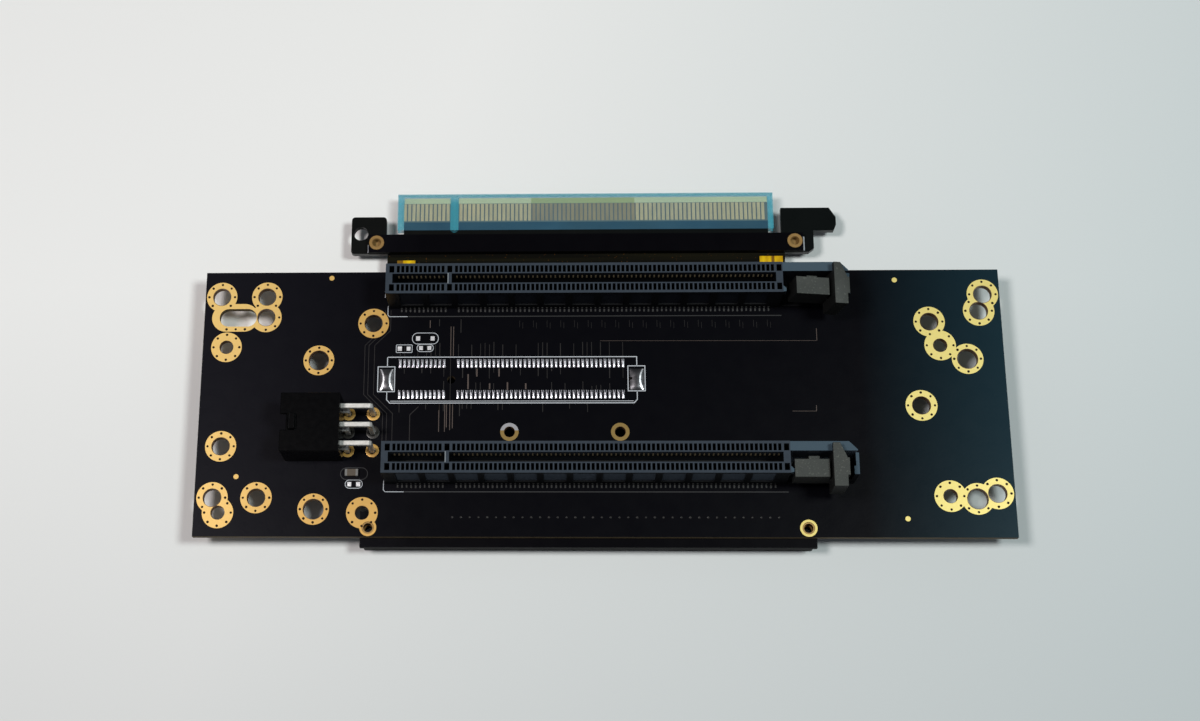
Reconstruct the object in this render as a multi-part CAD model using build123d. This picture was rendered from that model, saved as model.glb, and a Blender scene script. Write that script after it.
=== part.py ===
from build123d import *
import os

# A riser card for a low server chassis: one long board with two card slots, joined by a flat
# flexible circuit to a small board whose gold edge plugs into the mainboard.
# Millimetres. X runs along the slots, Y away from the person who looks at it, Z up.
# While it is built, x = 0 is the middle of the main board, y = 0 is the line of the unfitted
# middle connector and z = 0 is the table. save() then moves y = 0 to the middle of the outline.

# Main board
board_w = 180.0
board_rear_y = 25.6
board_front_y = -35.6
board_t = 1.6
copper_t = 0.05
ring_od = 7.0

# Two card slots, one standard card spacing apart
slot_pitch = 20.32
key_x = -33.35
contact_pitch = 1.0
key_to_contact = 1.5
contacts_left = 11
contacts_right = 71
body_left = 14.3
body_right = 73.75
body_w = 7.0
body_h = 11.25
card_slot_w = 2.2
card_slot_depth = 8.0
card_slot_end = 1.5
key_rib_w = 0.9
window_row_y = 2.15
window_w = 0.66
window_l = 1.55
window_depth = 8.5
wide_window_w = 1.1
wide_window_gap = 1.45
blade_w = 0.36
blade_foot = 0.8
blade_h = 5.5
blade_clear = 0.1
panel_w = 5.0
panel_pitch = 6.43
panel_depth = 0.3
panel_low_z = 2.4
panel_high_z = 10.3
panel_count = 13
peg_sides = 12
peg_r = 1.1
peg_clear = 0.05
peg_len = 1.3
peg_root = 0.5
peg_spread = 65.0

# Latch bay at the right end of each slot, measured from the end of the slot body
arm_in = 1.35
arm_out = 3.4
arm_len = 14.35
arm_chamfer = 1.8
end_wall_x = 14.1
end_wall_t = 0.7
end_wall_h = 9.5
front_wall_out = -3.4
front_wall_in = -1.6
front_wall_x = 9.3
front_wall_h = 3.8
stub_x = 13.7
bay_floor_t = 0.55
pivot_x = 11.5
pivot_z = 2.5
pin_r = 0.8
pin_clear = 0.05
pivot_sides = 12
upper_latch_open = 11.0

# Latch lever, closed, measured the same way
block_x0 = 0.8
block_x1 = 8.3
block_front = -4.4
block_back = -0.45
lever_low_z = 4.6
neck_top_z = 8.0
head_x0 = 8.8
head_x1 = 11.75
head_front = -6.8
head_back = 1.05
head_top_z = 13.3
cap_low_z = 12.05
cap_back = 2.7
cap_slope_x = 1.4
cap_slope_y = -0.4
spine_t = 0.5
spine_front = -4.4
spine_back = -0.6
spine_low_z = 10.7
foot_r = 1.55
foot_clear = 0.1
foot_root = 1.0
tooth_x0 = 3.0
tooth_x1 = 6.6
tooth_back = 0.9
tooth_slope = 1.2
tooth_high_z = 8.2

# Right-angle power header, two rows of three
power_y = -12.1
power_pitch = 4.2
power_rows = 5.5
power_count = 3
power_gap = 3.05
header_gap = 0.9
header_l = 13.1
header_w = 13.2
header_h = 9.8
header_wall = 0.9
header_depth = 10.2
header_relief = 0.3
header_relief_l = 1.4
pin_sq = 1.07
pin_low_z = 2.8
pin_tip = 5.0
pin_tail = 1.2
pin_bend = 0.5
pin_hole_r = 0.8
pin_hole_sides = 12
ridge_w = 3.6
ridge_x = 2.2
ridge_l = 1.2
ridge_h = 1.0
ridge_slope = 0.5
ridge_notch = 1.0
plug_seat = 1.0

# Small boards at the two ends of the flexible circuit
end_board_w = 100.0
end_board_x = -3.1
end_board_t = 1.6
front_end_y0 = -37.6
front_end_y1 = -29.6
bar_h = 5.0
bar_recess = 0.5
bar_y1 = -30.1
rear_end_y0 = 31.05
rear_end_y1 = 35.35
nut_inset = 1.9
nut_sides = 16
nut_rise = 0.3
nut_front_y = -33.6
nut_rear_y = 33.3
nut_r = 1.7
nut_bore_r = 1.03
nut_seat_clear = 0.03
nut_hole_in_board_r = 1.35
nut_ring_r = 1.88
screw_hole_r = 1.3
bar_hole_r = 1.55

# Finger board: a tongue with a key notch, an ear with a screw hole, a hook and its leg
finger_y0 = 31.2
tongue_left = 11.75
tongue_right = 72.55
tongue_tip_y = 45.0
tongue_bevel = 1.5
tongue_bevel_t = 0.45
notch_w = 1.9
notch_y = 36.3
ear_left_of_nut = 6.1
ear_right_of_nut = 2.05
ear_y1 = 40.25
ear_round = 0.8
ear_hole_from_nut = 3.85
ear_hole_y = 36.15
ear_hole_r = 1.65
hook_left_of_nut = 2.8
hook_right_of_nut = 9.8
hook_y0 = 36.4
hook_y1 = 42.0
hook_slope_x = 1.5
hook_slope_y = 2.3
hook_corner_x = 0.6
hook_corner_y = 1.4
leg_right_of_nut = 4.5
leg_slope_x = 1.2
leg_slope_y = 0.9
finger_w = 0.7
finger_l = 4.2
finger_y1 = 43.4

# Film over the fingers
film_t = 0.12
film_x0 = -46.6
film_x1 = 40.5
film_y0 = 36.9
film_y1 = 45.8
film_clear = 0.02

# Flat flexible circuit and its two tape patches
flex_w = 91.6
flex_x = -3.0
flex_t = 0.35
flex_drop = 0.3
flex_flat_y = 24.5
flex_land_y0 = 15.0
flex_land_y1 = -10.0
flex_rise_y = -21.0
flex_bend_r = 9.0
tape_t = 0.06
tape_left_x = (-46.5, -42.3)
tape_right_x = (37.0, 42.3)
tape_y0 = 25.4
tape_left_y1 = 29.6
tape_right_y1 = 30.3

# One ceramic capacitor
chip_x = -55.1
chip_y = -21.4
chip_l = 2.9
chip_w = 1.5
chip_h = 0.9
chip_end = 0.5

# Unfitted middle connector: solder tabs and two locating holes
tab_w = 3.4
tab_l = 5.0
tab_left_x = -47.9
tab_right_x = 8.3
tab_t = 0.15
locate_r = 0.9
locate_right = 40.2

# Levels above the table, worked out from the pieces that lie on each other
front_board_z = bar_h
main_z0 = front_board_z + end_board_t
main_z = main_z0 + board_t
finger_z0 = bar_h - board_t
finger_z1 = finger_z0 + board_t
strip_z1 = finger_z1 + end_board_t
middle_y = (film_y1 + front_end_y0) / 2

# Plated holes of the main board: distance from the board's left or right edge, y and hole diameter.
# Each has a gold ring of ring_od, and the slotted hole has a longer one.
left_holes = [
    (3.8, 19.7, 4.2), (14.2, 19.7, 4.2), (14.2, 14.8, 4.2), (5.4, 7.75, 3.2),
    (38.8, 13.3, 4.2), (26.6, 4.6, 4.7), (5.3, -15.3, 4.2), (4.0, -26.95, 4.2),
    (5.4, -30.3, 3.2), (13.8, -26.95, 4.2), (26.6, -29.5, 4.7), (37.4, -30.3, 3.2),
]
right_holes = [
    (3.8, 19.7, 4.2), (4.9, 15.8, 4.2), (16.1, 13.3, 4.2), (14.0, 7.75, 3.2), (8.15, 4.6, 4.7),
    (19.0, -6.1, 4.2), (14.0, -26.5, 3.2), (8.15, -27.1, 4.7), (3.8, -25.9, 4.2),
]
slotted_inset = 7.75
slotted_y = 14.75
slotted_l = 8.5
slotted_w = 4.2
slotted_ring_inset = 7.1
slotted_ring_l = 10.7
slotted_ring_w = 6.6
ring_sides = 16

# Two smaller plated holes in front of the middle connector's place
small_hole_x = (-20.2, 4.4)
small_hole_y = -12.05
small_hole_d = 2.5
small_ring_od = 4.1

# How far a cutting shape reaches past what it cuts
over = 1.0

os.makedirs("parts", exist_ok=True)


def save(node, solids):
    moved = [Pos(0, -middle_y, 0) * solid for solid in solids]
    export_step(Compound(children=moved) if len(moved) > 1 else moved[0], f"parts/{node}.step")


def block(x0, x1, y0, y1, z0, z1):
    return Pos((x0 + x1) / 2, (y0 + y1) / 2, (z0 + z1) / 2) * Box(x1 - x0, y1 - y0, z1 - z0)


def post(x, y, z0, z1, radius):
    return Pos(x, y, (z0 + z1) / 2) * Cylinder(radius, z1 - z0)


def prism(x, y, z0, z1, inradius, sides):
    """A post with few flat sides, for what repeats: its flats lie at the given radius."""
    return Pos(x, y, z0) * extrude(RegularPolygon(inradius, sides, major_radius=False), z1 - z0)


def side_profile(points, y0, y1):
    """A closed outline of x, z points, filled and given its width along y."""
    face = Plane.XZ * make_face(Polyline(*points, close=True))
    return Pos(0, y1, 0) * extrude(face, y1 - y0)


def contact_places():
    left = [key_x - key_to_contact - i * contact_pitch for i in range(contacts_left)]
    right = [key_x + key_to_contact + i * contact_pitch for i in range(contacts_right)]
    return left + right


plated_holes = [(inset - board_w / 2, y, d) for inset, y, d in left_holes]
plated_holes += [(board_w / 2 - inset, y, d) for inset, y, d in right_holes]
plated_holes += [(x, small_hole_y, small_hole_d) for x in small_hole_x]
nut_spread = end_board_w - 2 * nut_inset
nut_places = [end_board_x - nut_spread / 2, end_board_x + nut_spread / 2]
power_rows_y = [power_y + (i - (power_count - 1) / 2) * power_pitch for i in range(power_count)]
power_far_x = key_x - body_left - power_gap
power_near_x = power_far_x - power_rows
header_x1 = power_near_x - header_gap
header_x0 = header_x1 - header_l
peg_places = [key_x, key_x + peg_spread]


# Main board: outline, plated holes, pin holes, locating holes and screw holes
def main_board():
    low = main_z0 - over
    high = main_z + over
    board = block(-board_w / 2, board_w / 2, board_front_y, board_rear_y, main_z0, main_z)
    holes = [post(x, y, low, high, d / 2) for x, y, d in plated_holes]
    slot = Pos(slotted_inset - board_w / 2, slotted_y, low) * extrude(
        SlotOverall(slotted_l, slotted_w), high - low)
    holes.append(slot)
    for pin_x in (power_far_x, power_near_x):
        holes += [prism(pin_x, y, low, high, pin_hole_r, pin_hole_sides) for y in power_rows_y]
    for line in (slot_pitch, -slot_pitch):
        holes += [prism(x, line, low, high, peg_r + peg_clear, peg_sides) for x in peg_places]
    holes += [post(x, 0, low, high, locate_r) for x in (key_x, key_x + locate_right)]
    holes += [post(x, nut_front_y, low, high, nut_hole_in_board_r) for x in nut_places]
    return board - holes


# Gold rings round the plated holes. Rings that touch run into each other, as on the board.
def plated_rings():
    outer = [(x, y, ring_od / 2 if y != small_hole_y else small_ring_od / 2)
             for x, y, d in plated_holes]
    outer += [(x, nut_front_y, nut_ring_r) for x in nut_places]
    inner = [(x, y, d / 2) for x, y, d in plated_holes]
    inner += [(x, nut_front_y, nut_hole_in_board_r) for x in nut_places]
    rings = Sketch() + [Pos(x, y) * RegularPolygon(r, ring_sides) for x, y, r in outer]
    rings += Pos(slotted_ring_inset - board_w / 2, slotted_y) * SlotOverall(
        slotted_ring_l, slotted_ring_w)
    rings -= [Pos(x, y) * RegularPolygon(r, ring_sides, major_radius=False) for x, y, r in inner]
    rings -= Pos(slotted_inset - board_w / 2, slotted_y) * SlotOverall(slotted_l, slotted_w)
    return [extrude(Pos(0, 0, main_z) * face, copper_t) for face in rings.faces()]


# Slot housing: moulded body with the card slot, the contact windows and the latch bay
def slot_housing(line_y):
    left = key_x - body_left
    right = key_x + body_right
    half = body_w / 2
    body = block(left, right, -half, half, 0, body_h)
    cuts = []
    slot_low = body_h - card_slot_depth
    for x0, x1 in ((left + card_slot_end, key_x - key_rib_w / 2),
                   (key_x + key_rib_w / 2, right - card_slot_end)):
        cuts.append(block(x0, x1, -card_slot_w / 2, card_slot_w / 2, slot_low, body_h + over))
    window_low = body_h - window_depth
    wide_places = [contact_places()[contacts_left - 1] - wide_window_gap, key_x,
                   contact_places()[-1] + wide_window_gap]
    for row in (-window_row_y, window_row_y):
        y0 = row - window_l / 2
        y1 = row + window_l / 2
        for x in contact_places():
            cuts.append(block(x - window_w / 2, x + window_w / 2, y0, y1,
                              window_low, body_h + over))
        for x in wide_places:
            cuts.append(block(x - wide_window_w / 2, x + wide_window_w / 2, y0, y1,
                              window_low, body_h + over))
    panel_start = (left + right) / 2 - (panel_count - 1) * panel_pitch / 2
    for i in range(panel_count):
        x = panel_start + i * panel_pitch
        cuts.append(block(x - panel_w / 2, x + panel_w / 2, -half - over, -half + panel_depth,
                          panel_low_z, panel_high_z))
    body -= cuts
    arm = block(right, right + arm_len, arm_in, arm_out, 0, body_h)
    arm = chamfer(arm.edges().filter_by(Axis.Z).sort_by(Axis.X)[-2:].sort_by(Axis.Y)[-1], arm_chamfer)
    bay = block(right, right + end_wall_x + end_wall_t, front_wall_out, arm_out, 0, bay_floor_t)
    bay += block(right + end_wall_x, right + end_wall_x + end_wall_t, front_wall_out, arm_in,
                 0, end_wall_h)
    bay += block(right + front_wall_x, right + end_wall_x, front_wall_out, front_wall_in,
                 0, front_wall_h)
    bay += block(right + stub_x, right + end_wall_x, front_wall_out, front_wall_in, 0, end_wall_h)
    body = body + arm + bay
    bore = Plane.XZ * RegularPolygon(pin_r + pin_clear, pivot_sides, major_radius=False)
    body -= Pos(right + pivot_x, arm_out + over, pivot_z) * extrude(
        bore, arm_out - front_wall_out + 2 * over)
    for x in peg_places:
        body += prism(x, 0, -peg_len, peg_root, peg_r, peg_sides)
    return Pos(0, line_y, main_z) * body


def pivot_pin(right, y0, y1, radius):
    pin = Rotation(90, 0, 0) * Cylinder(radius, y1 - y0)
    return Pos(right + pivot_x, (y0 + y1) / 2, pivot_z) * pin


# One row of contact blades, each standing in its own window and narrowing towards its tip
def contact_row(line_y, side):
    inner = side * (window_row_y - window_l / 2 + blade_clear)
    low = body_h - window_depth
    outline = [(inner, low), (inner + side * blade_foot, low), (inner, low + blade_h)]
    face = Plane.YZ * make_face(Polyline(*outline, close=True))
    blade = extrude(face, blade_w / 2, both=True)
    return [Pos(x, line_y, main_z) * blade for x in contact_places()]


# Latch lever: a foot on its own trunnions, a column with a press tab and a block with a tooth
def slot_latch(line_y, open_angle):
    right = key_x + body_right
    lever = block(right + block_x0, right + block_x1, block_front, block_back, lever_low_z, body_h)
    lever += block(right + block_x1, right + head_x0, block_front, block_back, lever_low_z, neck_top_z)
    x0 = right + head_x0
    x1 = right + head_x1
    plan = make_face(Polyline((x0, head_front), (x1, head_front), (x1, cap_slope_y),
                              (x1 - cap_slope_x, cap_back), (x0, cap_back), close=True))
    head = Pos(0, 0, lever_low_z) * extrude(plan, head_top_z - lever_low_z)
    lever += head - block(x0 - over, x1 + over, head_back, cap_back + over,
                          lever_low_z - over, cap_low_z)
    lever += block(x1, x1 + spine_t, spine_front, spine_back, spine_low_z, head_top_z)
    tooth = side_profile([(right + tooth_x0, lever_low_z), (right + tooth_x1, lever_low_z),
                          (right + tooth_x1, tooth_high_z),
                          (right + tooth_x0 + tooth_slope, tooth_high_z)],
                         block_back, tooth_back)
    lever += tooth
    foot_front = front_wall_in + foot_clear
    foot_back = arm_in - foot_clear
    lever += block(right + pivot_x - foot_r, right + pivot_x + foot_r, foot_front, foot_back,
                   pivot_z, lever_low_z + foot_root)
    lever += pivot_pin(right, foot_front, foot_back, foot_r)
    lever += pivot_pin(right, front_wall_out, arm_out, pin_r)
    turned = Pos(right + pivot_x, 0, pivot_z) * Rotation(0, open_angle, 0)
    lever = turned * (Pos(-right - pivot_x, 0, -pivot_z) * lever)
    return Pos(0, line_y, main_z) * lever


# Power header: shrouded housing with its mouth towards -X, locking ridge on top, bent pins
def power_header_housing():
    y0 = power_y - header_w / 2
    y1 = power_y + header_w / 2
    top = main_z + header_h
    shell = block(header_x0, header_x1, y0, y1, main_z, top)
    shell -= block(header_x0 - over, header_x0 + header_depth, y0 + header_wall, y1 - header_wall,
                   main_z + header_wall, top - header_wall)
    back = header_x0 + ridge_x + ridge_l
    ridge = [(header_x0 + ridge_x - ridge_slope, top), (back, top),
             (back, top + ridge_h), (header_x0 + ridge_x, top + ridge_h)]
    shell += side_profile(ridge, power_y - ridge_w / 2, power_y + ridge_w / 2)
    shell -= block(header_x0 - over, header_x0 + ridge_x - ridge_slope, power_y - ridge_w / 2,
                   power_y + ridge_w / 2, top - ridge_notch, top + over)
    shell -= block(header_x1 - header_relief_l, header_x1 + over, y0 - over, y1 + over,
                   main_z - over, main_z + header_relief)
    half = pin_sq / 2
    for z in (main_z + pin_low_z, main_z + pin_low_z + power_pitch):
        for y in power_rows_y:
            shell -= block(header_x0 + header_depth - plug_seat, header_x1 + over,
                           y - half, y + half, z - half, z + half)
    return shell


def power_pins(level, drop_x):
    half = pin_sq / 2
    z = main_z + pin_low_z + level * power_pitch
    tip_x = header_x0 + header_depth - pin_tip
    low = main_z0 - pin_tail
    pins = []
    for y in power_rows_y:
        outline = [(tip_x, z - half), (drop_x - half, z - half), (drop_x - half, low),
                   (drop_x + half, low), (drop_x + half, z + half - pin_bend),
                   (drop_x + half - pin_bend, z + half), (tip_x, z + half)]
        pins.append(side_profile(outline, y - half, y + half))
    return pins


# Finger board: outline with the ear, the tongue, the hook and its leg, then the bevelled tip
def finger_board():
    tongue_x0 = key_x - tongue_left
    tongue_x1 = key_x + tongue_right
    nut_left, nut_right = nut_places
    ear_x0 = nut_left - ear_left_of_nut
    ear_x1 = nut_left + ear_right_of_nut
    gap_y = rear_end_y1
    hook_x0 = nut_right - hook_left_of_nut
    hook_x1 = nut_right + hook_right_of_nut
    leg_x = nut_right + leg_right_of_nut
    face = make_face(Polyline(
        (ear_x0, finger_y0), (ear_x0, ear_y1), (ear_x1, ear_y1), (ear_x1, gap_y),
        (tongue_x0, gap_y), (tongue_x0, tongue_tip_y), (tongue_x1, tongue_tip_y),
        (tongue_x1, gap_y), (hook_x0, gap_y), (hook_x0, hook_y1),
        (hook_x1 - hook_slope_x, hook_y1), (hook_x1, hook_y1 - hook_slope_y),
        (hook_x1, hook_y0 + hook_corner_y), (hook_x1 - hook_corner_x, hook_y0), (leg_x, hook_y0),
        (leg_x, finger_y0 + leg_slope_y), (leg_x - leg_slope_x, finger_y0), close=True))
    ear_corners = face.vertices().sort_by(Axis.X)[:4].sort_by(Axis.Y)
    face = fillet([ear_corners[0]] + ear_corners[2:], ear_round)
    notch_low = Pos(key_x, notch_y + notch_w / 2) * Circle(notch_w / 2)
    face -= notch_low + Pos(key_x, notch_y + notch_w / 2) * Rectangle(
        notch_w, tongue_tip_y, align=(Align.CENTER, Align.MIN))
    face -= Pos(nut_left - ear_hole_from_nut, ear_hole_y) * Circle(ear_hole_r)
    face -= [Pos(x, nut_rear_y) * Circle(screw_hole_r) for x in nut_places]
    board = Pos(0, 0, finger_z0) * extrude(face, board_t)
    base = tongue_tip_y - tongue_bevel
    tip = tongue_tip_y + over
    drop = tongue_bevel_t * (tip - base) / tongue_bevel
    for z, inward in ((finger_z1, -1), (finger_z0, 1)):
        corner = Plane.YZ * make_face(Polyline((base, z), (tip, z + inward * drop), (tip, z),
                                               close=True))
        board -= Pos(tongue_x0 - over, 0, 0) * extrude(corner, tongue_x1 - tongue_x0 + 2 * over)
    return board


def edge_fingers(z0):
    half = finger_w / 2
    return [block(x - half, x + half, finger_y1 - finger_l, finger_y1, z0, z0 + copper_t)
            for x in contact_places()]


# Protective film folded over the tongue's tip
def protective_film():
    low = finger_z0 - copper_t - film_clear
    high = finger_z1 + copper_t + film_clear
    film = block(film_x0, film_x1, film_y0, film_y1, low - film_t, high + film_t)
    return film - block(film_x0 - over, film_x1 + over, film_y0 - over, film_y1 - film_t,
                        low, high)


# The strip on the finger board, and the board under the main board's front edge
def rear_end_board():
    x0 = end_board_x - end_board_w / 2
    board = block(x0, x0 + end_board_w, rear_end_y0, rear_end_y1, finger_z1, strip_z1)
    return board - [prism(x, nut_rear_y, finger_z1 - over, strip_z1 + over,
                          nut_r + nut_seat_clear, nut_sides) for x in nut_places]


def front_end_board():
    x0 = end_board_x - end_board_w / 2
    board = block(x0, x0 + end_board_w, front_end_y0, front_end_y1, front_board_z, main_z0)
    return board - [prism(x, nut_front_y, front_board_z - over, main_z0 + over,
                          nut_r + nut_seat_clear, nut_sides) for x in nut_places]


def front_support_bar():
    x0 = end_board_x - end_board_w / 2 + bar_recess
    x1 = end_board_x + end_board_w / 2 - bar_recess
    bar = block(x0, x1, front_end_y0 + bar_recess, bar_y1, 0, bar_h)
    return bar - [post(x, nut_front_y, -over, bar_h + over, bar_hole_r) for x in nut_places]


def brass_nuts(y, z0, z1):
    nuts = []
    for x in nut_places:
        nut = prism(x, y, z0, z1, nut_r, nut_sides)
        nuts.append(nut - post(x, y, z0 - over, z1 + over, nut_bore_r))
    return nuts


# Flat flexible circuit: level at the finger board, down to the table, up to the front board
def flex_level():
    return finger_z1 - flex_drop - flex_t / 2


def flex_ribbon():
    high = flex_level()
    low = flex_t / 2
    front = front_board_z + end_board_t / 2
    path = FilletPolyline((finger_y0, high), (flex_flat_y, high), (flex_land_y0, low),
                          (flex_land_y1, low), (flex_rise_y, front), (front_end_y1, front),
                          radius=flex_bend_r)
    path = Plane.YZ * path
    section = Plane(origin=(0, finger_y0, high), z_dir=(0, -1, 0), x_dir=(1, 0, 0)) * Rectangle(
        flex_w, flex_t)
    return Pos(flex_x, 0, 0) * sweep(section, path=path)


def tape_patch(span, y1):
    z = flex_level() + flex_t / 2
    return block(span[0], span[1], tape_y0, y1, z, z + tape_t)


# Capacitor body and its two metal ends
def capacitor_body():
    half = chip_l / 2 - chip_end
    return block(chip_x - half, chip_x + half, chip_y - chip_w / 2, chip_y + chip_w / 2,
                 main_z, main_z + chip_h)


def capacitor_ends():
    half = chip_l / 2
    ends = []
    for x0, x1 in ((-half, chip_end - half), (half - chip_end, half)):
        ends.append(block(chip_x + x0, chip_x + x1, chip_y - chip_w / 2, chip_y + chip_w / 2,
                          main_z, main_z + chip_h))
    return ends


# Solder tabs of the unfitted middle connector
def solder_tabs():
    return [block(x - tab_w / 2, x + tab_w / 2, -tab_l / 2, tab_l / 2, main_z, main_z + tab_t)
            for x in (tab_left_x, tab_right_x)]


save("main_board", [main_board()])
save("plated_hole_rings", plated_rings())
save("middle_solder_tabs", solder_tabs())
for name, line, angle in (("upper", slot_pitch, upper_latch_open), ("lower", -slot_pitch, 0.0)):
    save(f"{name}_slot_housing", [slot_housing(line)])
    save(f"{name}_slot_rear_contacts", contact_row(line, 1))
    save(f"{name}_slot_front_contacts", contact_row(line, -1))
    save(f"{name}_slot_latch", [slot_latch(line, angle)])
save("power_header_housing", [power_header_housing()])
save("power_pins_lower_row", power_pins(0, power_near_x))
save("power_pins_upper_row", power_pins(1, power_far_x))
save("finger_board", [finger_board()])
save("edge_fingers_top", edge_fingers(finger_z1))
save("edge_fingers_bottom", edge_fingers(finger_z0 - copper_t))
save("protective_film", [protective_film()])
save("rear_end_board", [rear_end_board()])
save("front_end_board", [front_end_board()])
save("front_support_bar", [front_support_bar()])
save("rear_brass_nuts", brass_nuts(nut_rear_y, finger_z1, strip_z1 + nut_rise))
save("front_brass_nuts", brass_nuts(nut_front_y, front_board_z, main_z0))
save("flex_ribbon", [flex_ribbon()])
save("left_tape_patch", [tape_patch(tape_left_x, tape_left_y1)])
save("right_tape_patch", [tape_patch(tape_right_x, tape_right_y1)])
save("capacitor_body", [capacitor_body()])
save("capacitor_ends", capacitor_ends())
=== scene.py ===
import bpy
import bmesh
import random
from math import cos, pi, radians, sin
from mathutils import Matrix, Vector


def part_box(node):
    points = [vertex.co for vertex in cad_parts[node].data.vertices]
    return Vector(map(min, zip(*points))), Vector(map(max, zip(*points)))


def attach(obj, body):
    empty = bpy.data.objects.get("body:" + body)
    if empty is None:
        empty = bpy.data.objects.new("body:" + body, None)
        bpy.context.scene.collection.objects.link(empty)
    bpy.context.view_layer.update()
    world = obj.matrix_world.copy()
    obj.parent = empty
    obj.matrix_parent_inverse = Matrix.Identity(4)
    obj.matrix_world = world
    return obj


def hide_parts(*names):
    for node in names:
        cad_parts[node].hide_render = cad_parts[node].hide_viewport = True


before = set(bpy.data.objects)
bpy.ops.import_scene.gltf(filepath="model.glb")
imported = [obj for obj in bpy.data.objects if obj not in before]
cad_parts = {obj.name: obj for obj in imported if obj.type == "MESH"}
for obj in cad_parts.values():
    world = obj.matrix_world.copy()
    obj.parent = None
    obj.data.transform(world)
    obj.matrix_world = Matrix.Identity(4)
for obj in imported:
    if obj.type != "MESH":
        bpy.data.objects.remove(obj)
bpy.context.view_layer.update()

# Camera. The card was photographed from in front and well above, with the camera a little to the
# left of its middle and turned, and the picture was cropped off centre, which the shift repeats.
mm = 0.001
camera_place = Vector((-7.991, -118.415, 419.828)) * mm
lens_mm = 57.045
sensor_mm = 36.0
elevation = radians(71.285)
heading = radians(-7.776)
roll = radians(-7.617)
crop_right = 0.0991
crop_down = 0.0679


def into_scene(name, data):
    """An object of that name and data, linked to the scene."""
    made = bpy.data.objects.new(name, data)
    bpy.context.scene.collection.objects.link(made)
    return made


forward = Vector((sin(heading) * cos(elevation), cos(heading) * cos(elevation), -sin(elevation)))
level_right = forward.cross(Vector((0, 0, 1))).normalized()
level_up = level_right.cross(forward)
camera_right = level_right * cos(roll) + level_up * sin(roll)
camera_up = level_up * cos(roll) - level_right * sin(roll)
camera_data = bpy.data.cameras.new("camera")
camera_data.lens = lens_mm
camera_data.sensor_width = sensor_mm
camera_data.shift_x = crop_right
camera_data.shift_y = -crop_down
camera_data.clip_start = 0.01
camera = into_scene("camera", camera_data)
turn = Matrix((camera_right, camera_up, -forward)).transposed().to_4x4()
camera.matrix_world = Matrix.Translation(camera_place) @ turn
bpy.context.scene.camera = camera
bpy.context.scene.view_settings.view_transform = "Standard"


# Table top and light. A sheet of pale grey paper lies under the card. Two soft lamps hang to its
# left and right, the left one a little pink and the right one a little green, in a dim room.
class Wire:
    """One socket in a material's nodes. Sums and products of wires add Math nodes."""

    def __init__(self, tree, socket=None):
        self.tree = tree
        self.socket = socket

    def node(self, kind, settings, inputs, output=0):
        """Adds a node, sets it up, fills its sockets with numbers or wires, and returns one output."""
        made = self.tree.nodes.new(kind)
        for name, value in settings.items():
            setattr(made, name, value)
        for name, value in inputs.items():
            if isinstance(value, Wire):
                self.tree.links.new(value.socket, made.inputs[name])
            else:
                made.inputs[name].default_value = value
        return Wire(self.tree, made.outputs[output])

    def maths(self, operation, *others):
        return self.node("ShaderNodeMath", {"operation": operation}, dict(enumerate((self, *others))))

    def __add__(self, other):
        return self.maths("ADD", other)

    __radd__ = __add__

    def __sub__(self, other):
        return self.maths("SUBTRACT", other)

    def __mul__(self, other):
        return self.maths("MULTIPLY", other)

    def __gt__(self, other):
        return self.maths("GREATER_THAN", other)

    def __lt__(self, other):
        return self.maths("LESS_THAN", other)

    def between(self, low, high):
        """1 where the value lies between two numbers, 0 elsewhere."""
        return (self > low) * (self < high)

    def rising(self, low, high):
        """0 up to the first number, 1 from the second on, and a straight slope between them."""
        return self.node("ShaderNodeMapRange", {}, {"Value": self, "From Min": low, "From Max": high})

    def part(self, axis):
        """One coordinate of a vector."""
        return self.node("ShaderNodeSeparateXYZ", {}, {0: self}, axis)

    def noise(self, size, detail=2.0, stretch=(1, 1, 1)):
        """Soft random spots about that many metres wide, from 0 to 1."""
        scaled = self.node("ShaderNodeMapping", {}, {"Vector": self, "Scale": stretch})
        return self.node("ShaderNodeTexNoise", {}, {"Vector": scaled, "Scale": 1 / size, "Detail": detail})

    def blend(self, first, second):
        """A colour between two, by this value."""
        pair = [(*c, 1.0) if isinstance(c, tuple) else c for c in (first, second)]
        return self.node("ShaderNodeMix", {"data_type": "RGBA"}, {0: self, 6: pair[0], 7: pair[1]}, 2)

    def bump(self, strength, height):
        """A normal with this value's relief, which is that many metres high."""
        return self.node("ShaderNodeBump", {}, {"Strength": strength, "Distance": height, "Height": self})

    def into(self, shader, name):
        self.tree.links.new(self.socket, shader.inputs[name])


def new_finish(name, roughness=0.5, metallic=0.0, shine=0.5):
    """An empty material, its shader, and the wire of its Object coordinates."""
    material = bpy.data.materials.new(name)
    material.use_nodes = True
    shader = material.node_tree.nodes["Principled BSDF"]
    shader.inputs["Roughness"].default_value = roughness
    shader.inputs["Metallic"].default_value = metallic
    shader.inputs["Specular IOR Level"].default_value = shine
    place = Wire(material.node_tree).node("ShaderNodeTexCoord", {}, {}, "Object")
    return material, shader, place


def facing_of(place):
    """The direction in which the surface faces, in the same material."""
    return Wire(place.tree).node("ShaderNodeTexCoord", {}, {}, "Normal")


def mesh_object(name, corners, faces, material=None):
    """A mesh at the origin, with its place in its corners."""
    mesh = bpy.data.meshes.new(name)
    mesh.from_pydata([tuple(c) for c in corners], [], faces)
    mesh.update()
    if material:
        mesh.materials.append(material)
    return into_scene(name, mesh)


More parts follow.
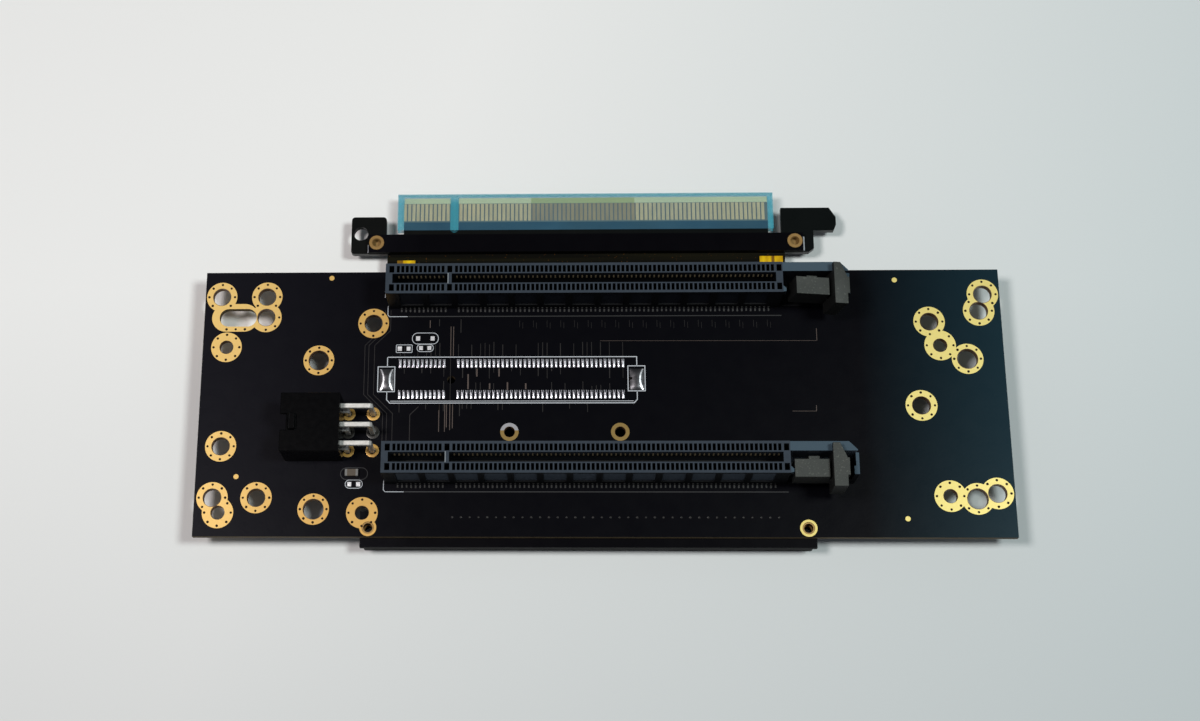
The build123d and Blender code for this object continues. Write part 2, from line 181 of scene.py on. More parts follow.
floor_reach = 1.2
floor_z = -0.02 * mm
paper_bright = (0.86, 0.86, 0.85)
paper_shaded_right = (0.545, 0.61, 0.62)
paper_shade = (0.42, 0.44, 0.45)
falloff_start, falloff_end = -60 * mm, 170 * mm
shade_from, shade_full, shade_part = 20 * mm, -100 * mm, 0.4
paper, paper_shader, paper_place = new_finish("paper", roughness=0.9, shine=0.1)
# The paper is painted darker and greener towards the lower right, and darker towards the front, as painted
# shade where the lamps' light falls off.
rightwards = paper_place.part(0) * 0.95 + paper_place.part(1) * -0.4
paper_with_falloff = rightwards.rising(falloff_start, falloff_end).blend(paper_bright, paper_shaded_right)
towards = paper_place.part(1).rising(shade_from, shade_full) * shade_part
towards.blend(paper_with_falloff, paper_shade).into(paper_shader, "Base Color")
paper_place.noise(0.0006).bump(0.15, 0.0001).into(paper_shader, "Normal")
square = ((-1, -1), (1, -1), (1, 1), (-1, 1))
floor_corners = [(x * floor_reach, y * floor_reach, floor_z) for x, y in square]
floor = mesh_object("floor", floor_corners, [(0, 1, 2, 3)], paper)

wall_colour = (0.24, 0.25, 0.27)
ceiling_colour = (0.040, 0.045, 0.050)
wall_until, ceiling_from = 0.25, 0.85
room = bpy.data.worlds.new("room")
room.use_nodes = True
height = Wire(room.node_tree).node("ShaderNodeTexCoord", {}, {}, "Generated").part(2)
room_colour = height.rising(wall_until, ceiling_from).blend(wall_colour, ceiling_colour)
room_colour.into(room.node_tree.nodes["Background"], "Color")
bpy.context.scene.world = room
lamps = (
    ("lamp_left", (-0.42, -0.04, 0.90), (1.0, 0.935, 0.92), 4.75, 0.22),
    ("lamp_right", (0.42, -0.04, 0.90), (0.92, 1.0, 0.98), 4.75, 0.22),
)
for lamp_name, lamp_place, lamp_colour, lamp_power, lamp_size in lamps:
    lamp_data = bpy.data.lights.new(lamp_name, "AREA")
    lamp_data.shape = "DISK"
    lamp_data.size = lamp_size
    lamp_data.energy = lamp_power
    lamp_data.color = lamp_colour
    lamp = into_scene(lamp_name, lamp_data)
    lamp.location = lamp_place
    lamp.rotation_euler = (-Vector(lamp_place)).to_track_quat("-Z", "Y").to_euler()


# Main board. A 1.6 mm glass-fibre circuit board under black solder mask, cut out by a router, so
# that its edges show bare laminate. The mask is painted grey towards its left end and blue-green
# towards its right end, as painted sheen.
card_y = -4.1 * mm  # the middle connector's line, from which places on the board are measured
(left_edge, _, board_low), (right_edge, _, board_top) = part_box("main_board")
mask_black = (0.0020, 0.0020, 0.0034)
mask_green_sheen = (0.0080, 0.0260, 0.0370)
mask_grey_sheen = (0.0068, 0.0066, 0.0098)
laminate = (0.15, 0.115, 0.065)
laminate_dark = (0.07, 0.05, 0.03)
left_sheen_from, left_sheen_full = -40 * mm, -85 * mm
right_sheen_from, right_sheen_full = 58 * mm, 94 * mm
end_mask_left = (0.0016, 0.0014, 0.0024)
end_mask_right = (0.0018, 0.0018, 0.0026)
end_edge_pale = (0.004, 0.004, 0.004)
end_edge_dark = (0.002, 0.002, 0.002)


def dress(node, material):
    """Gives a CAD node its finish through its own material slots."""
    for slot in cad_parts[node].material_slots:
        slot.material = material


def board_finish(name, mask_left, mask_right, edge_pale=laminate, edge_dark=laminate_dark):
    """Solder mask on the flat faces and bare laminate on the routed edges."""
    material, shader, place = new_finish(name, shine=0.07)
    bare = facing_of(place).part(2).maths("ABSOLUTE") < 0.5
    # The mask colour is blended to a painted grey sheen towards the left end, and to mask_right towards the
    # right end, which on the main board is a painted green sheen.
    mask = place.part(0).rising(left_sheen_from, left_sheen_full).blend(mask_left, mask_grey_sheen)
    mask = place.part(0).rising(right_sheen_from, right_sheen_full).blend(mask, mask_right)
    layers = place.noise(0.0004, stretch=(0.1, 0.1, 1)).blend(edge_pale, edge_dark)
    bare.blend(mask, layers).into(shader, "Base Color")
    (0.24 + place.noise(0.004) * 0.08 + bare * 0.4).into(shader, "Roughness")
    place.noise(0.0007, detail=1.0).bump(0.05, 0.0001).into(shader, "Normal")
    return material


dress("main_board", board_finish("board_mask", mask_black, mask_green_sheen))
end_board_mask = board_finish("end_board_mask", end_mask_left, end_mask_right, end_edge_pale,
                              end_edge_dark)
dress("rear_end_board", end_board_mask)
dress("front_end_board", end_board_mask)


# Gold rings. Copper pads, plated with nickel and gold, lie on both faces and run into each other
# where they touch. Those of the screw holes are 7 mm wide, with up to eight small vias round a hole.
ring_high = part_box("plated_hole_rings")[1][2]
plating_t = ring_high - board_top
ring_r = 3.5 * mm
screw_holes = [(left_edge + inset * mm, y * mm + card_y, d * mm) for inset, y, d in (
    (3.8, 19.7, 4.2), (14.2, 19.7, 4.2), (14.2, 14.8, 4.2), (5.4, 7.75, 3.2),
    (38.8, 13.3, 4.2), (26.6, 4.6, 4.7), (5.3, -15.3, 4.2), (4.0, -26.95, 4.2),
    (5.4, -30.3, 3.2), (13.8, -26.95, 4.2), (26.6, -29.5, 4.7), (37.4, -30.3, 3.2))]
screw_holes += [(right_edge - inset * mm, y * mm + card_y, d * mm) for inset, y, d in (
    (3.8, 19.7, 4.2), (4.9, 15.8, 4.2), (16.1, 13.3, 4.2), (14.0, 7.75, 3.2), (8.15, 4.6, 4.7),
    (19.0, -6.1, 4.2), (14.0, -26.5, 3.2), (8.15, -27.1, 4.7), (3.8, -25.9, 4.2))]
small_holes = [(x * mm, -12.05 * mm + card_y, 2.5 * mm) for x in (-20.2, 4.4)]
small_ring_r = 2.05 * mm
nut_holes = [(x * mm, -33.6 * mm + card_y, 2.7 * mm) for x in (-51.2, 45.0)]
nut_ring_r = 1.88 * mm
slotted_y = 14.75 * mm + card_y
slotted_hole = (7.75 * mm, 8.5 * mm, 4.2 * mm)
slotted_ring = (7.1 * mm, 10.7 * mm, 6.6 * mm)
gold_shaded = (0.25, 0.16, 0.04)
shaded_xs = (-30 * mm, 20 * mm)
ring_half_grey = (0.34, 0.34, 0.36)
grey_half_xs, grey_half_ys = (-22.5 * mm, -18 * mm), (-15.8 * mm, 0.0)
warm_from, warm_full = -90 * mm, -48 * mm
pale_from, pale_full = -10 * mm, 50 * mm

gold, gold_shader, gold_place = new_finish("gold_plate", metallic=0.35)
gold_x, gold_y = gold_place.part(0), gold_place.part(1)
gold_left = gold_place.noise(0.012).blend((0.84, 0.58, 0.20), (0.74, 0.48, 0.13))
gold_warm = gold_place.noise(0.012).blend((0.64, 0.38, 0.095), (0.52, 0.29, 0.065))
gold_right = gold_place.noise(0.012).blend((0.80, 0.66, 0.22), (0.68, 0.55, 0.16))
gold_sum = (gold_x + gold_y * -0.35).rising(warm_from, warm_full).blend(gold_left, gold_warm)
gold_sum = gold_x.rising(pale_from, pale_full).blend(gold_sum, gold_right)
# The upper half of the left small ring is grey.
grey_half = gold_x.between(*grey_half_xs) * gold_y.between(*grey_half_ys)
# The two small rings, between these x, are painted dimmer gold as painted shade.
gold_sum = gold_x.between(*shaded_xs).blend(gold_sum, gold_shaded)
grey_half.blend(gold_sum, ring_half_grey).into(gold_shader, "Base Color")
(0.34 + gold_place.noise(0.0005) * 0.16).into(gold_shader, "Roughness")
gold_place.noise(0.00035, detail=1.0).bump(0.12, 0.00005).into(gold_shader, "Normal")


def oblong(x, y, length, width, steps=24):
    """The outline of a slot with round ends, or of a circle where length and width are equal."""
    half = (length - width) / 2
    ends = [(x + half, -90), (x - half, 90)]
    return [(end + width / 2 * cos(radians(first + 180 * i / steps)),
             y + width / 2 * sin(radians(first + 180 * i / steps)))
            for end, first in ends for i in range(steps + 1 if half else steps)]


def prisms(name, outlines, levels):
    """Upright solids from plan outlines, each between every pair of levels."""
    corners, faces = [], []
    for outline in outlines:
        count = len(outline)
        for low, high in levels:
            start = len(corners)
            corners += [(x, y, z) for z in (low, high) for x, y in outline]
            faces.append(tuple(start + i for i in reversed(range(count))))
            faces.append(tuple(start + count + i for i in range(count)))
            faces += [(start + i, start + (i + 1) % count,
                       start + count + (i + 1) % count, start + count + i)
                      for i in range(count)]
    return mesh_object(name, corners, faces)


def settle(piece, stands_for=()):
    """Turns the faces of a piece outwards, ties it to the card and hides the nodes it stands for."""
    work = bmesh.new()
    work.from_mesh(piece.data)
    bmesh.ops.recalc_face_normals(work, faces=work.faces)
    work.to_mesh(piece.data)
    work.free()
    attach(piece, "card")
    for node in stands_for:
        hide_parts(node)


pads = [oblong(x, y, 2 * ring_r, 2 * ring_r) for x, y, d in screw_holes]
pads += [oblong(x, y, 2 * small_ring_r, 2 * small_ring_r) for x, y, d in small_holes]
pads += [oblong(x, y, 2 * nut_ring_r, 2 * nut_ring_r) for x, y, d in nut_holes]
pads.append(oblong(left_edge + slotted_ring[0], slotted_y, *slotted_ring[1:]))
openings = [oblong(x, y, d, d) for x, y, d in screw_holes + small_holes + nut_holes]
openings.append(oblong(left_edge + slotted_hole[0], slotted_y, *slotted_hole[1:]))
rings = prisms("plated_rings", pads, ((board_low - plating_t, board_low), (board_top, ring_high)))
cutter = prisms("hole_cutter", openings, ((board_low - mm, ring_high + mm),))
cut = rings.modifiers.new("cut", "BOOLEAN")
cut.operation = "DIFFERENCE"
cut.solver = "EXACT"
cut.use_self = True
cut.object = cutter
ring_mesh = bpy.data.meshes.new_from_object(rings.evaluated_get(bpy.context.evaluated_depsgraph_get()))
rings.modifiers.clear()
rings.data = ring_mesh
ring_mesh.materials.append(gold)
bpy.data.objects.remove(cutter)
settle(rings, stands_for=("plated_hole_rings",))


def at(x, y, z, turned=0.0, size=(1, 1, 1)):
    """One spot for a repeated shape."""
    return x, y, z, turned, size


copy_seed = 7


def repeated(name, spots, shape, material, grow=0.0):
    """Geometry Nodes put a copy of a small shape on each spot, a little larger or smaller at random."""
    tree = bpy.data.node_groups.new(name, "GeometryNodeTree")
    for label, kind in (("Spots", "Geometry"), ("Shape", "Object"), ("Finish", "Material"),
                        ("Grow", "Float")):
        tree.interface.new_socket(label, in_out="INPUT", socket_type="NodeSocket" + kind)
    tree.interface.new_socket("Copies", in_out="OUTPUT", socket_type="NodeSocketGeometry")
    inputs = tree.nodes.new("NodeGroupInput")
    outputs = tree.nodes.new("NodeGroupOutput")
    shape_info = tree.nodes.new("GeometryNodeObjectInfo")
    to_rotation = tree.nodes.new("FunctionNodeEulerToRotation")
    uneven = tree.nodes.new("FunctionNodeRandomValue")
    uneven.data_type = "FLOAT"
    uneven.inputs["Seed"].default_value = copy_seed
    sizing = tree.nodes.new("ShaderNodeVectorMath")
    sizing.operation = "SCALE"
    place_copies = tree.nodes.new("GeometryNodeInstanceOnPoints")
    make_real = tree.nodes.new("GeometryNodeRealizeInstances")
    set_finish = tree.nodes.new("GeometryNodeSetMaterial")
    link = tree.links.new
    link(inputs.outputs["Spots"], place_copies.inputs["Points"])
    link(inputs.outputs["Shape"], shape_info.inputs["Object"])
    link(shape_info.outputs["Geometry"], place_copies.inputs["Instance"])
    for label, taker in (("turn", to_rotation), ("size", sizing)):
        read = tree.nodes.new("GeometryNodeInputNamedAttribute")
        read.data_type = "FLOAT_VECTOR"
        read.inputs["Name"].default_value = label
        link(read.outputs["Attribute"], taker.inputs[0])
    for operation, limit in (("SUBTRACT", 2), ("ADD", 3)):
        from_one = tree.nodes.new("ShaderNodeMath")
        from_one.operation = operation
        from_one.inputs[0].default_value = 1.0
        link(inputs.outputs["Grow"], from_one.inputs[1])
        link(from_one.outputs[0], uneven.inputs[limit])
    link(to_rotation.outputs["Rotation"], place_copies.inputs["Rotation"])
    link(uneven.outputs[1], sizing.inputs["Scale"])
    link(sizing.outputs["Vector"], place_copies.inputs["Scale"])
    link(place_copies.outputs["Instances"], make_real.inputs["Geometry"])
    link(make_real.outputs["Geometry"], set_finish.inputs["Geometry"])
    link(inputs.outputs["Finish"], set_finish.inputs["Material"])
    link(set_finish.outputs["Geometry"], outputs.inputs["Copies"])

    base = mesh_object(name + "_spots", [s[:3] for s in spots], [])
    for label, values in (("turn", [(0, 0, s[3]) for s in spots]), ("size", [s[4] for s in spots])):
        attribute = base.data.attributes.new(label, "FLOAT_VECTOR", "POINT")
        attribute.data.foreach_set("vector", [n for v in values for n in v])
    modifier = base.modifiers.new("copies", "NODES")
    modifier.node_group = tree
    given = {"Shape": shape, "Finish": material, "Grow": grow}
    for item in tree.interface.items_tree:
        if item.in_out == "INPUT" and item.name in given:
            modifier[item.identifier] = given[item.name]
    mesh = bpy.data.meshes.new_from_object(base.evaluated_get(bpy.context.evaluated_depsgraph_get()))
    mesh.name = name
    for spent in (base, shape):
        bpy.data.objects.remove(spent)
    return into_scene(name, mesh)


def lathe(name, profile, sides):
    """A shape turned about Z from (radius, height) points, closed on itself and at its poles."""
    count = len(profile)
    corners = [(r * cos(2 * pi * i / sides), r * sin(2 * pi * i / sides), z)
               for i in range(sides) for r, z in profile]
    faces = [(i * count + j, (i + 1) % sides * count + j, (i + 1) % sides * count + (j + 1) % count,
              i * count + (j + 1) % count) for i in range(sides) for j in range(count)]
    made = mesh_object(name, corners, faces)
    work = bmesh.new()
    work.from_mesh(made.data)
    bmesh.ops.remove_doubles(work, verts=work.verts, dist=0.0001 * mm)
    work.to_mesh(made.data)
    work.free()
    return made


shaded_hole_wall, wall_shader, wall_place = new_finish("shaded_hole_wall", roughness=0.45, metallic=0.4)
# The plated bore walls are painted dark brown instead of gold, as painted shade inside the holes.
wall_place.noise(0.0006).blend((0.12, 0.062, 0.028), (0.20, 0.115, 0.052)).into(wall_shader, "Base Color")
barrel = lathe("barrel", [(0.995, 0), (0.995, 1), (0.96, 1), (0.96, 0)], 48)
barrel_reach = 0.9 * plating_t
barrel_low = board_low - barrel_reach
barrel_high = board_top + barrel_reach
barrels = repeated("plated_hole_walls", [
    at(x, y, barrel_low, size=(d / 2, d / 2, barrel_high - barrel_low))
    for x, y, d in screw_holes + small_holes],
    barrel, shaded_hole_wall)
settle(barrels)

via_circle = 2.95 * mm
via_r = 0.29 * mm
slot_via_aside = 2.75 * mm
via_finish, via_shader, via_place = new_finish("via_hole", roughness=0.7, shine=0.1)
# The vias are dark discs on the rings, painted shade for their open bores.
via_place.noise(0.0003).blend((0.010, 0.004, 0.002), (0.022, 0.010, 0.004)).into(via_shader, "Base Color")
slotted_middle = Vector((left_edge + slotted_hole[0], slotted_y))
via_spots = [at(left_edge + inset * mm, slotted_y - slot_via_aside, z)
             for inset in (5.2, 7.3, 9.4) for z in (ring_high, board_low - plating_t)]
placed = []
for x, y, d in screw_holes:
    for i in range(8):
        spot = Vector((x + via_circle * sin(i * pi / 4), y + via_circle * cos(i * pi / 4)))
        aside = spot - slotted_middle
        in_slot = (abs(aside.x) < slotted_hole[1] / 2 + 2 * via_r
                   and abs(aside.y) < slotted_hole[2] / 2 + via_r)
        crowded = any((spot - other).length < 3 * via_r for other in placed)
        if not in_slot and not crowded and all((spot - Vector((hx, hy))).length > hd / 2 + 2 * via_r
                                               for hx, hy, hd in screw_holes):
            placed.append(spot)
            via_spots += [at(*spot, ring_high), at(*spot, board_low - plating_t)]
via_dot = lathe("via_dot", [(0, 0.010 * mm), (via_r, 0.004 * mm), (via_r, -0.010 * mm),
                            (0, -0.010 * mm)], 10)
settle(repeated("ring_vias", via_spots, via_dot, via_finish, grow=0.08))


# Slot housings. Each is moulded from black glass-filled nylon, with a window for each of 164 contacts
# and a short stub before the latch. Its matt top, from the mould's spark-eroded face, is painted
# blue-grey, partly as worn plastic and partly as painted light, and its smooth sides are painted
# nearly black as painted shade.
slot_face = (0.019, 0.028, 0.041)
slot_face_worn = (0.034, 0.047, 0.064)
slot_side_shade = (0.0022, 0.0026, 0.0038)
slot_panel = (0.050, 0.062, 0.080)
slot_panel_dim = (0.010, 0.012, 0.018)
slot_bay = (0.044, 0.074, 0.100)
key_edge_highlight = (0.22, 0.25, 0.27)
slot_offset = 20.32 * mm
slot_line = {"upper": slot_offset + card_y, "lower": -slot_offset + card_y}
key_x = -33.35 * mm
key_rib_half = 0.45 * mm
body_end = 40.4 * mm
housing_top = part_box("lower_slot_housing")[1][2]
housing_half = 3.5 * mm
low_step = 4.0 * mm
skin = 0.15 * mm
card_slot_half = 1.2 * mm
key_highlight_out, key_highlight_in = 0.05 * mm, 0.2 * mm
stub_plan = ((-0.1, -3.45), (0.65, -3.3), (0.65, -2.6), (-0.1, -1.9))
stub_levels = (housing_top - 2.2 * mm, housing_top - 0.02 * mm)

slot_plastic, slot_shader, slot_place = new_finish("slot_plastic", shine=0.2)
slot_facing = facing_of(slot_place)
slot_x, slot_y, slot_z = (slot_place.part(axis) for axis in range(3))
from_line = (slot_y - slot_line["upper"]).maths("WRAP", slot_offset, -slot_offset)
# Up-facing tops get the lighter colour as painted light, and the other faces near black as painted shade.
slot_up = (slot_facing.part(2) > 0.5) * (slot_z > housing_top - low_step)
slot_front = (slot_facing.part(1) < -0.5) * (from_line > skin - housing_half)
slot_worn = slot_place.noise(0.0012, detail=4.0).blend(slot_face, slot_face_worn)
# The front panels are painted lighter on the lower slot than on the upper, as painted light and shade.
panel_colour = (slot_y < 0.0).blend(slot_panel_dim, slot_panel)
slot_colour = slot_up.blend(slot_front.blend(slot_side_shade, panel_colour), slot_worn)
bay_colour = (slot_up * (slot_x > body_end)).blend(slot_colour, slot_bay)
# A painted highlight along the key rib's edge, across the card slot.
key_side = key_x - key_rib_half
key_edge = slot_x.between(key_side - key_highlight_out, key_side + key_highlight_in)
key_edge = key_edge * (from_line.maths("ABSOLUTE") < card_slot_half) * slot_up
key_edge.blend(bay_colour, key_edge_highlight).into(slot_shader, "Base Color")
(0.42 + slot_place.noise(0.0008) * 0.14 + slot_up * 0.12).into(slot_shader, "Roughness")
slot_place.noise(0.00022, detail=3.0).bump(0.18, 0.00006).into(slot_shader, "Normal")
for side, line_y in slot_line.items():
    dress(side + "_slot_housing", slot_plastic)
    outline = [(body_end + x * mm, line_y + y * mm) for x, y in stub_plan]
    stub = prisms(side + "_bay_stub", [outline], (stub_levels,))
    stub.data.materials.append(slot_plastic)
    settle(stub)


# Slot contacts. Springs of gold-plated bronze, pressed into the housing from below. Their rounded
# tips stand a little way into the card slot, and their tinned feet are soldered beside the housing.
contact_pitch = 1.0 * mm
contacts_right, contacts_left = 71, 11
key_gap = 1.5
contact_xs = [key_x + (key_gap + i) * contact_pitch for i in range(contacts_right)]
contact_xs += [key_x - (key_gap + i) * contact_pitch for i in range(contacts_left)]
slot_half = 1.1 * mm
tip_depth = 2.4 * mm
tip_w = 0.30 * mm
foot_w = 0.36 * mm

contact_metal, contact_shader, contact_place = new_finish("contact_metal", metallic=0.6)
contact_place.noise(0.0006).blend((0.19, 0.15, 0.09), (0.34, 0.28, 0.18)).into(contact_shader, "Base Color")
(0.30 + contact_place.noise(0.0002) * 0.2).into(contact_shader, "Roughness")
for side in ("upper", "lower"):
    for row in ("front", "rear"):
        dress(f"{side}_slot_{row}_contacts", contact_metal)


def strip(name, profile, width):
    """A closed ribbon: a side profile of (y, z) points in millimetres, given a width along x."""
    count = len(profile)
    corners = [(x * width / 2, out * mm, up * mm) for x in (-1, 1) for out, up in profile]
    faces = [(i, (i + 1) % count, count + (i + 1) % count, count + i) for i in range(count)]
    faces += [tuple(reversed(range(count))), tuple(range(count, 2 * count))]
    return mesh_object(name, corners, faces)


tip_profile = [(0.0, -1.1), (0.16, -0.5), (0.30, 0.0), (0.16, 0.45), (0.0, 0.8)]
for side, line_y in slot_line.items():
    spots = []
    for x in contact_xs:
        spots += [at(x, line_y - slot_half, housing_top - tip_depth),
                  at(x, line_y + slot_half, housing_top - tip_depth, turned=pi)]
    settle(repeated(side + "_slot_contact_tips", spots, strip("tip", tip_profile, tip_w), contact_metal,
                    grow=0.05))

tin, tin_shader, tin_place = new_finish("tin", metallic=0.4)
tin_colour = tin_place.noise(0.0011, detail=3.0).blend((0.52, 0.52, 0.54), (0.86, 0.86, 0.88))
tin_colour.into(tin_shader, "Base Color")
(0.26 + tin_place.noise(0.0006) * 0.2).into(tin_shader, "Roughness")
tin_place.noise(0.0008).bump(0.35, 0.0002).into(tin_shader, "Normal")

solder, solder_shader, solder_place = new_finish("solder", metallic=0.3)
# The feet are painted nearly black instead of bright solder, as painted shade beside the housings.
solder_place.noise(0.0009, detail=3.0).blend((0.002, 0.002, 0.0025), (0.010, 0.0095, 0.0095)).into(
    solder_shader, "Base Color")
(0.38 + solder_place.noise(0.0005) * 0.2).into(solder_shader, "Roughness")
foot_profile = [(0.0, 0.02), (0.0, 0.50), (0.14, 0.46), (0.30, 0.20), (0.9, 0.10), (0.96, 0.02)]
for side, line_y in slot_line.items():
    spots = []
    for x in contact_xs:
        spots += [at(x, line_y - housing_half, board_top, turned=pi),
                  at(x, line_y + housing_half, board_top)]
    settle(repeated(side + "_slot_solder_feet", spots, strip("foot", foot_profile, foot_w), solder,
                    grow=0.06))


# Card latches. Grey levers moulded from a speckled nylon, each snapped between the walls of the
# slot's end bay, where it rocks on two short trunnions. The upper one has been left open.
latch_grey = (0.027, 0.032, 0.029)
latch_pale = (0.050, 0.054, 0.049)
latch_speck = (0.10, 0.11, 0.095)
latch_side_shade = (0.0045, 0.0048, 0.0046)
latch_plastic, latch_shader, latch_place = new_finish("latch_plastic", shine=0.3)
latch_cloud = latch_place.noise(0.0020, detail=3.0).blend(latch_grey, latch_pale)
latch_specks = (latch_place.noise(0.00045, detail=1.0) > 0.66) * 0.5
latch_colour = latch_specks.blend(latch_cloud, latch_speck)
# Faces that do not look up are painted nearly black, as painted shade on the levers' sides and fronts.
latch_up = facing_of(latch_place).part(2) > 0.75
latch_up.blend(latch_side_shade, latch_colour).into(latch_shader, "Base Color")
(0.50 + latch_place.noise(0.001) * 0.15).into(latch_shader, "Roughness")
latch_place.noise(0.0003, detail=3.0).bump(0.25, 0.0001).into(latch_shader, "Normal")


def softened(node, piece_name, width, material, body):
    """A copy of a CAD node with its moulded edges rounded, which stands for the node."""
    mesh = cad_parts[node].data.copy()
    work = bmesh.new()
    work.from_mesh(mesh)
    bmesh.ops.remove_doubles(work, verts=work.verts, dist=0.001 * mm)
    bmesh.ops.dissolve_limit(work, angle_limit=radians(1), verts=work.verts, edges=work.edges)
    work.to_mesh(mesh)
    work.free()
    mesh.materials.clear()
    mesh.materials.append(material)
    piece = into_scene(piece_name, mesh)
    rounding = piece.modifiers.new("rounding", "BEVEL")
    rounding.width = width
    rounding.segments = 2
    rounding.limit_method = "ANGLE"
    rounding.angle_limit = radians(35)
    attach(piece, body)
    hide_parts(node)


for side in ("upper", "lower"):
    softened(side + "_slot_latch", side + "_latch_lever", 0.12 * mm, latch_plastic,
             side + "_latch")


# Power header. A black nylon shroud for a six-way plug lies on its side on the board. Its square
# tinned pins leave the back in two rows, turn down and are soldered through the board.
header_plastic, header_shader, header_place = new_finish("header_plastic", shine=0.08)
header_place.noise(0.003).blend((0.0007, 0.0007, 0.0010), (0.0016, 0.0016, 0.0020)).into(
    header_shader, "Base Color")
(0.20 + header_place.noise(0.0012) * 0.10).into(header_shader, "Roughness")
header_place.noise(0.00025).bump(0.08, 0.00006).into(header_shader, "Normal")
softened("power_header_housing", "power_header_shroud", 0.15 * mm, header_plastic, "card")

pin_metal, pin_shader, pin_place = new_finish("pin_metal", metallic=0.5)
pin_colour = pin_place.noise(0.0016, detail=3.0).blend((0.50, 0.49, 0.46), (0.84, 0.83, 0.80))
pin_colour.into(pin_shader, "Base Color")
(0.26 + pin_place.noise(0.0004) * 0.22).into(pin_shader, "Roughness")
pin_place.noise(0.0005, stretch=(0.15, 1, 1)).bump(0.2, 0.00008).into(pin_shader, "Normal")
for row in ("upper", "lower"):
    softened(f"power_pins_{row}_row", f"power_{row}_pins", 0.14 * mm, pin_metal, "card")

header_y = -12.1 * mm + card_y
pin_pitch = 4.2 * mm
pin_xs = (-56.2 * mm, -50.7 * mm)
pin_ys = [header_y + step * pin_pitch for step in (-1, 0, 1)]
pin_ring_r = 1.5 * mm
ring_profile = [(0.8 * mm, -1.0 * mm), (0.8 * mm, 0.03 * mm), (1.0 * mm, 0.09 * mm), (1.3 * mm, 0.08 * mm),
                (pin_ring_r, 0.05 * mm), (pin_ring_r, 0.0), (0.84 * mm, 0.0), (0.84 * mm, -1.0 * mm)]
gold_spots = [at(x, y, board_top) for x in pin_xs for y in (pin_ys[0], pin_ys[2])]
settle(repeated("power_pin_rings", gold_spots, lathe("pin_ring", ring_profile, 36), gold))
dark_ring, dark_shader, dark_place = new_finish("masked_ring", roughness=0.35)
dark_place.noise(0.0006).blend((0.008, 0.007, 0.006), (0.02, 0.017, 0.013)).into(dark_shader, "Base Color")
dark_spots = [at(x, pin_ys[1], board_top) for x in pin_xs]
settle(repeated("power_pin_masked_rings", dark_spots, lathe("masked_ring", ring_profile, 36), dark_ring))
cone_profile = [(0.0, 0.0), (pin_ring_r, 0.0), (1.25 * mm, -0.2 * mm), (0.85 * mm, -0.7 * mm),
                (0.7 * mm, -1.15 * mm), (0.0, -1.25 * mm)]
cone_spots = [at(x, y, board_low - 0.01 * mm) for x in pin_xs for y in pin_ys]
settle(repeated("power_pin_solder_joints", cone_spots, lathe("solder_cone", cone_profile, 24), tin,
                grow=0.06))


# Finger board. A second laminate with gold-plated fingers, which lie under a blue protective film
# folded over the tip. The film has crept into small waves, and the bevelled edge is bare laminate.
fingers_y = 38.9 * mm + card_y
bevel_y = 43.5 * mm + card_y
tip_y = 45.0 * mm + card_y
tongue_ends = (-45.1 * mm, 39.2 * mm)
notch_half = 0.95 * mm
dull_span = (-15.5 * mm, 8.5 * mm)
notch_end = 36.3 * mm + card_y
ear_mask, ear_shader, ear_place = new_finish("finger_board_mask", shine=0.12)
ear_x, ear_y = ear_place.part(0), ear_place.part(1)
bare_zone = (ear_y > fingers_y) * ear_x.between(*tongue_ends)
bevel_colour = ear_x.between(*dull_span).blend((0.66, 0.72, 0.38), (0.44, 0.50, 0.15))
bare_colour = (ear_y > bevel_y).blend((0.13, 0.13, 0.07), bevel_colour)
masked = ear_x.rising(-0.05, 0.05).blend((0.0040, 0.0045, 0.0042), (0.0022, 0.0034, 0.0034))
bare_zone.blend(masked, bare_colour).into(ear_shader, "Base Color")
(0.26 + ear_place.noise(0.004) * 0.08 + bare_zone * 0.3).into(ear_shader, "Roughness")
ear_place.noise(0.0007, detail=1.0).bump(0.05, 0.0001).into(ear_shader, "Normal")
dress("finger_board", ear_mask)

finger_gold, finger_shader, finger_place = new_finish("finger_gold", metallic=0.3)
finger_streaks = finger_place.noise(0.0009, stretch=(1, 0.2, 1))
finger_pale = finger_streaks.blend((0.55, 0.44, 0.16), (0.82, 0.67, 0.31))
finger_dull = finger_streaks.blend((0.34, 0.24, 0.06), (0.46, 0.33, 0.09))
finger_middle = finger_place.part(0).between(*dull_span)
finger_middle.blend(finger_pale, finger_dull).into(finger_shader, "Base Color")
(0.30 + finger_streaks * 0.2).into(finger_shader, "Roughness")
dress("edge_fingers_top", finger_gold)
dress("edge_fingers_bottom", finger_gold)

film, film_shader, film_place = new_finish("film", roughness=0.3)
film_x, film_y = film_place.part(0), film_place.part(1)
film_on_tongue = film_x.between(*tongue_ends) * (film_y < tip_y)
film_on_notch = film_x.between(key_x - notch_half, key_x + notch_half) * (film_y > notch_end)
film_free = (film_on_notch + film_on_tongue * -1.0 + 1.0).maths("MINIMUM", 1.0)
film_blue = film_place.noise(0.008, stretch=(1, 2.5, 1)).blend((0.08, 0.28, 0.47), (0.14, 0.38, 0.55))
film_free.blend(film_blue, (0.07, 0.42, 0.53)).into(film_shader, "Base Color")
(0.11 + film_place.noise(0.012) * 0.07 + film_free * 0.26).into(film_shader, "Alpha")
film_place.noise(0.0045, detail=1.0, stretch=(1, 2.0, 1)).bump(0.12, 0.0006).into(film_shader, "Normal")
dress("protective_film", film)


